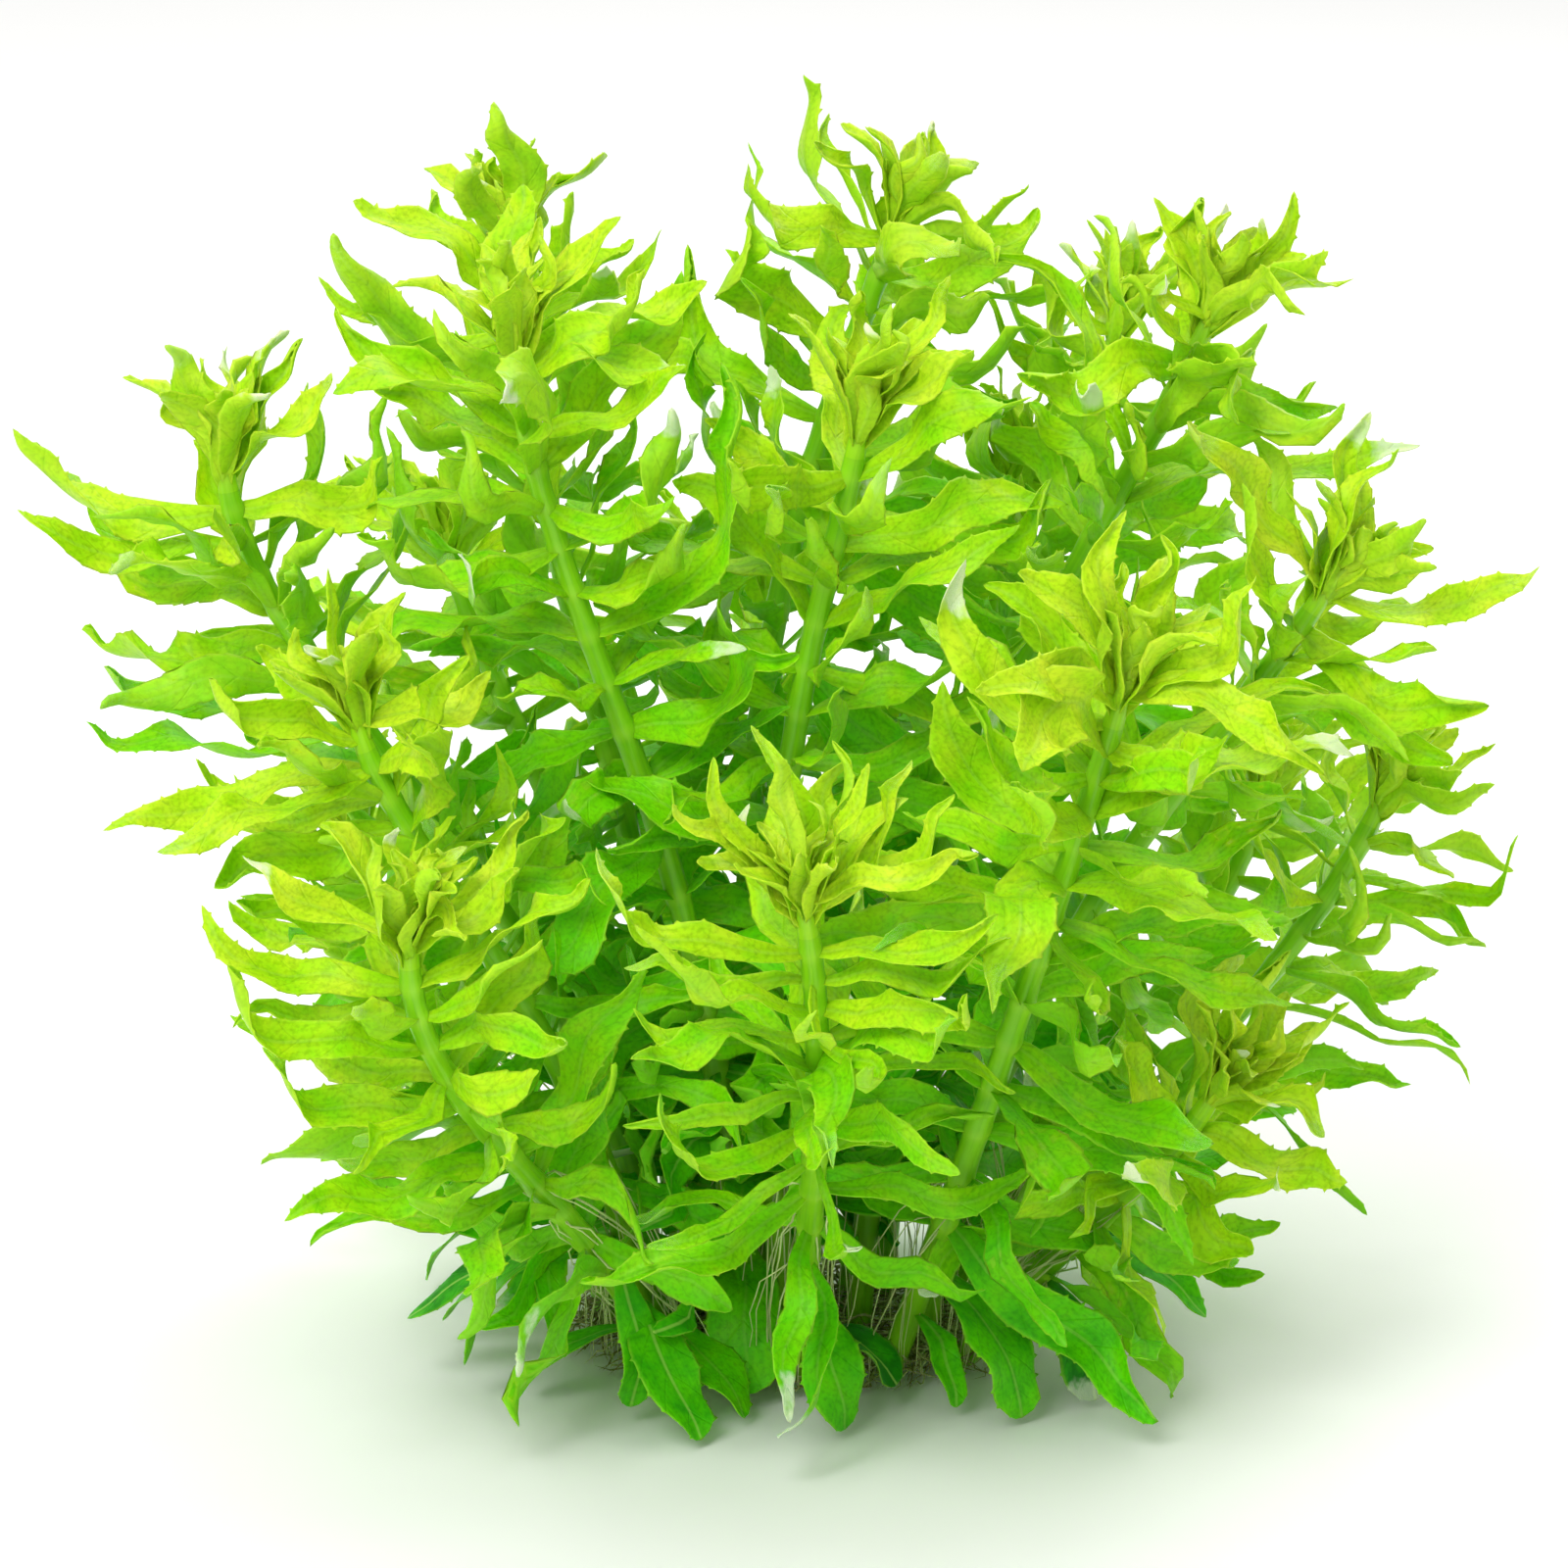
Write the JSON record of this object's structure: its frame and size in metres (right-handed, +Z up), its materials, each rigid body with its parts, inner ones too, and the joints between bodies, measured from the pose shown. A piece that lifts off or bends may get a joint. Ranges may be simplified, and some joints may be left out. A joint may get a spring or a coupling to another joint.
{
  "type": "aquarium stem plant, wavy rice paddy herb",
  "caption": "Bushy clump of a submersed aquarium stem plant: leafy upright shoots with wavy lance-shaped leaves in whorls, rising from a flat mat of fine roots.",
  "frame": {"origin": "middle of the root mat's flat underside, where the plant rests", "axes": "+Z up along the shoots, +X to the right and -Y towards the viewer, as seen from the front"},
  "size_m": [0.2955, 0.2672, 0.2525],
  "materials": {
    "leaf": "satin",
    "young_leaf": "satin",
    "old_leaf": "satin",
    "root": "matt"
  },
  "bodies": {
    "root": {"stem_01": "leaf", "stem_02": "leaf", "stem_03": "leaf", "stem_04": "leaf", "stem_05": "leaf", "stem_06": "leaf", "stem_07": "leaf", "stem_08": "leaf", "stem_09": "leaf", "stem_10": "leaf", "stem_11": "leaf", "stem_12": "leaf", "stem_13": "leaf", "stem_14": "leaf", "stem_15": "leaf", "stem_16": "leaf", "stem_17": "leaf", "stem_18": "leaf", "stem_19": "leaf", "crown_01": "young_leaf", "crown_02": "young_leaf", "crown_03": "young_leaf", "crown_04": "young_leaf", "crown_05": "young_leaf", "crown_06": "young_leaf", "crown_07": "young_leaf", "crown_08": "young_leaf", "crown_09": "young_leaf", "crown_10": "young_leaf", "crown_11": "young_leaf", "crown_12": "young_leaf", "crown_13": "young_leaf", "crown_14": "young_leaf", "crown_15": "young_leaf", "crown_16": "young_leaf", "crown_17": "young_leaf", "crown_18": "young_leaf", "crown_19": "young_leaf", "foot_leaf_01": "old_leaf", "foot_leaf_02": "old_leaf", "foot_leaf_03": "old_leaf", "foot_leaf_04": "old_leaf", "foot_leaf_05": "old_leaf", "foot_leaf_06": "old_leaf", "foot_leaf_07": "old_leaf", "foot_leaf_08": "old_leaf", "foot_leaf_09": "old_leaf", "foot_leaf_10": "old_leaf", "foot_leaf_11": "old_leaf", "foot_leaf_12": "old_leaf", "foot_leaf_13": "old_leaf", "foot_leaf_14": "old_leaf", "foot_leaf_15": "old_leaf", "foot_leaf_16": "old_leaf", "foot_leaf_17": "old_leaf", "foot_leaf_18": "old_leaf", "foot_leaf_19": "old_leaf", "foot_leaf_20": "old_leaf", "foot_leaf_21": "old_leaf", "root_mat": "root"}
  },
  "joints": []
}
